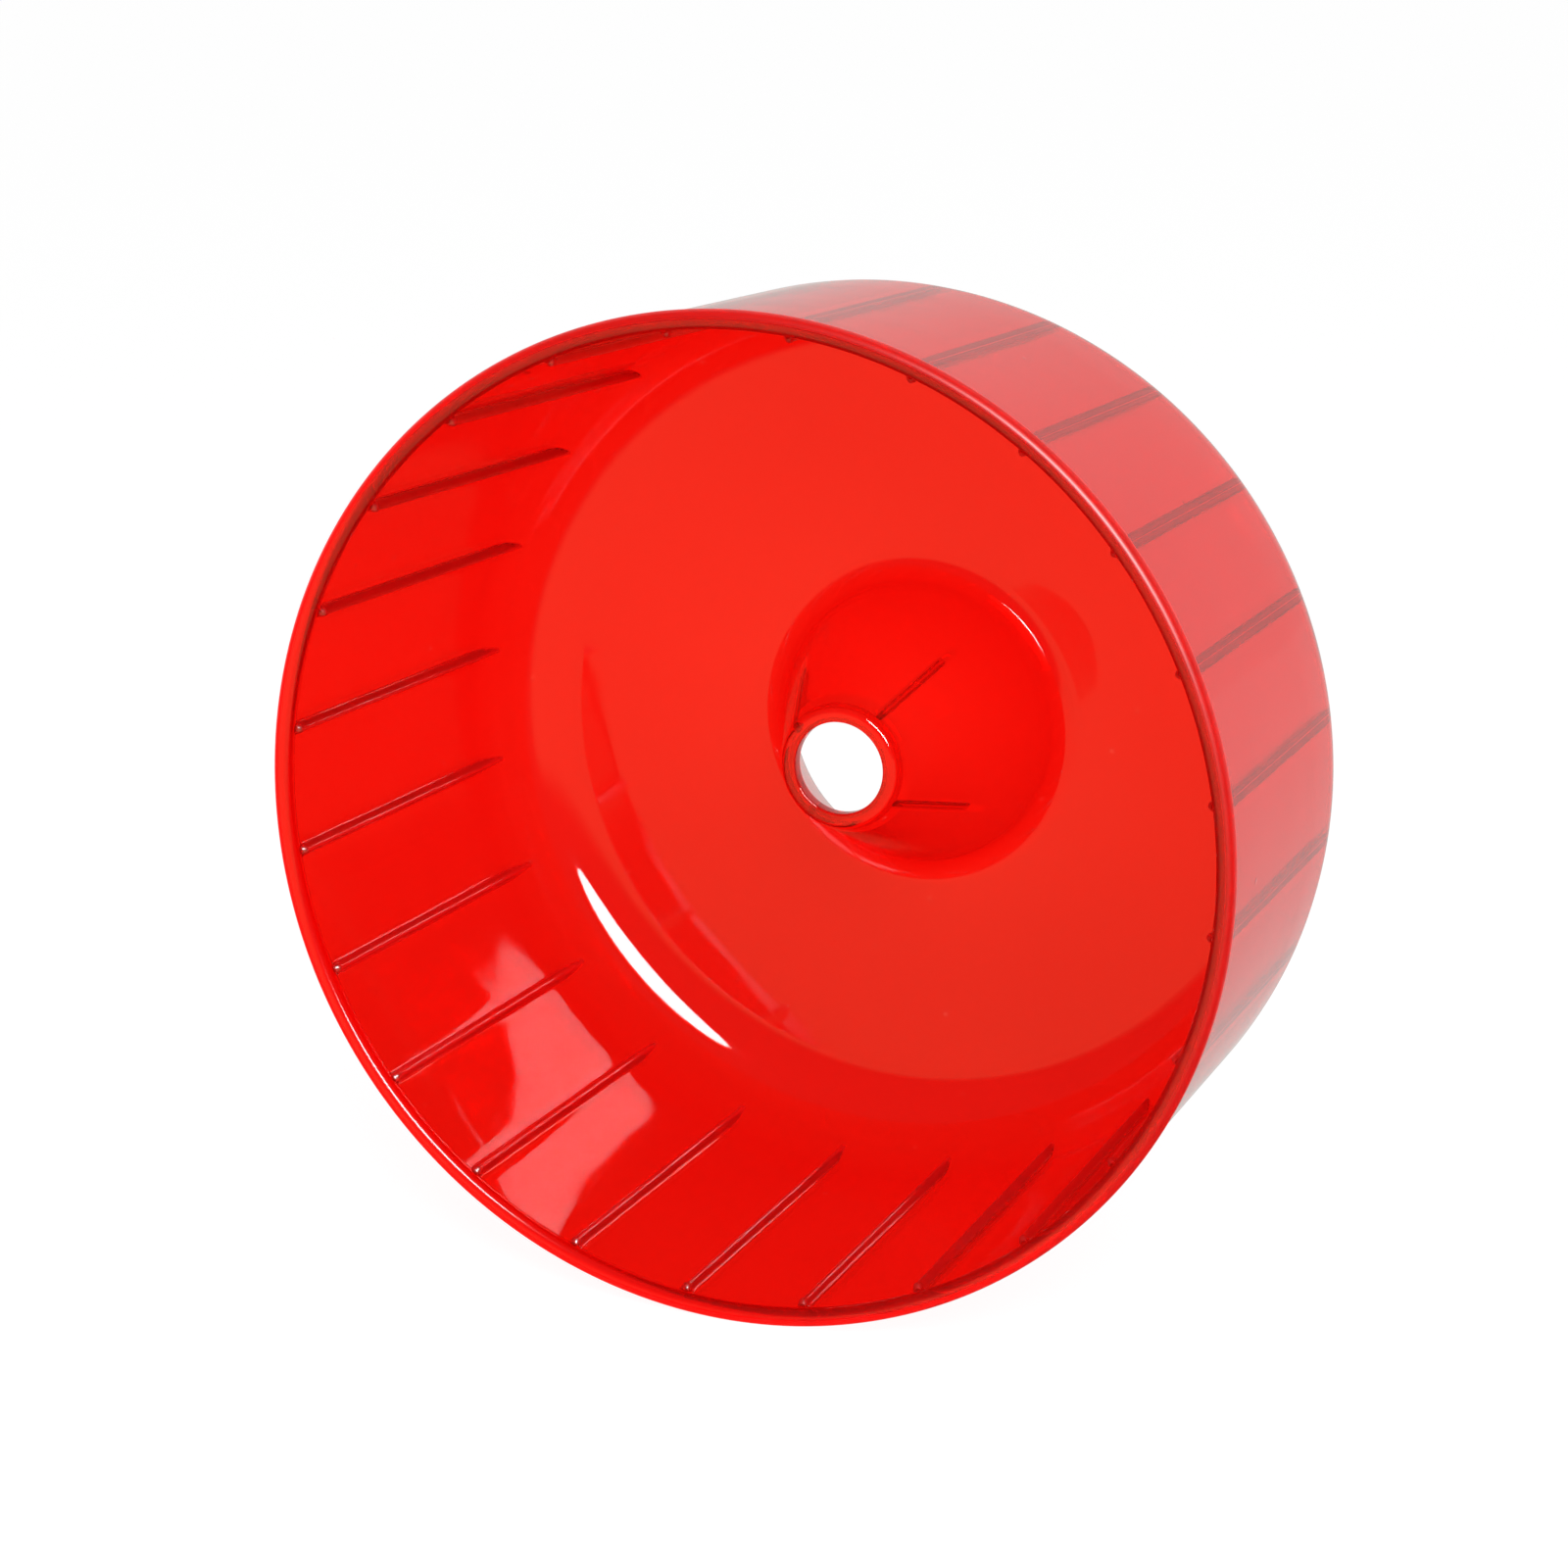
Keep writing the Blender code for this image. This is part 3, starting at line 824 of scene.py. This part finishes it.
def oval_light(name, place, long_way, width, height, radiance):
    """An oval lamp at a place: its long axis runs along long_way, and it shines at the origin.
    Its power is radiance times pi times its area, and an oval's area is pi / 4 of its box."""
    lamp = bpy.data.lights.new(name, "AREA")
    lamp.shape = "ELLIPSE"
    lamp.size, lamp.size_y = width, height
    lamp.energy = radiance * math.pi * (0.25 * math.pi * width * height)
    holder = bpy.data.objects.new(name, lamp)
    bpy.context.scene.collection.objects.link(holder)
    back = place / np.linalg.norm(place)
    right = long_way - back * (long_way @ back)
    right = right / np.linalg.norm(right)
    turn = Matrix(np.stack([right, np.cross(back, right), back], 1).tolist()).to_4x4()
    holder.matrix_world = Matrix.Translation(place.tolist()) @ turn
    holder.visible_camera = False
    print(name, "has a power of", round(lamp.energy, 2), "W")


oval_light("window_light", WINDOW_PLACE, WINDOW_LONG_WAY, WINDOW_WIDTH, WINDOW_HEIGHT,
           WINDOW_RADIANCE)

# %% [markdown]
# ## Camera
#
# The camera looks into the open front from a little to the right and above, with a long lens
# from about half a metre away. Light in a clear wall bounces many times before it gets out,
# and a path that is cut short turns black, so the limits on bounces are high.

# %% Camera
CAMERA_PLACE = np.array([0.21397, -0.52519, 0.13735])
CAMERA_TARGET = np.array([-0.006715, -0.003825, -0.003626])
CAMERA_ROLL = math.radians(-0.8556)
LENS, SENSOR = 94.04, 36.0
SHIFT_X, SHIFT_Y = -0.0028, 0.0060
NEAREST = 0.01

camera_data = bpy.data.cameras.new("camera")
camera_data.lens, camera_data.sensor_width = LENS, SENSOR
camera_data.shift_x, camera_data.shift_y = SHIFT_X, SHIFT_Y
camera_data.clip_start = NEAREST
camera = bpy.data.objects.new("camera", camera_data)
bpy.context.scene.collection.objects.link(camera)
back = (CAMERA_PLACE - CAMERA_TARGET) / np.linalg.norm(CAMERA_PLACE - CAMERA_TARGET)
level = np.cross((0.0, 0.0, 1.0), back)
level = level / np.linalg.norm(level)
right = level * math.cos(CAMERA_ROLL) + np.cross(back, level) * math.sin(CAMERA_ROLL)
turn = Matrix(np.stack([right, np.cross(back, right), back], 1).tolist()).to_4x4()
camera.matrix_world = Matrix.Translation(CAMERA_PLACE.tolist()) @ turn
bpy.context.scene.camera = camera
print("the camera is", round(float(np.linalg.norm(CAMERA_PLACE)), 3), "m from the bore")

# %% View and bounces
BOUNCES = 96

bpy.context.scene.view_settings.view_transform = "Standard"
cycles = bpy.context.scene.cycles
cycles.max_bounces = BOUNCES
cycles.glossy_bounces = BOUNCES
cycles.transmission_bounces = BOUNCES
print("up to", BOUNCES, "bounces")
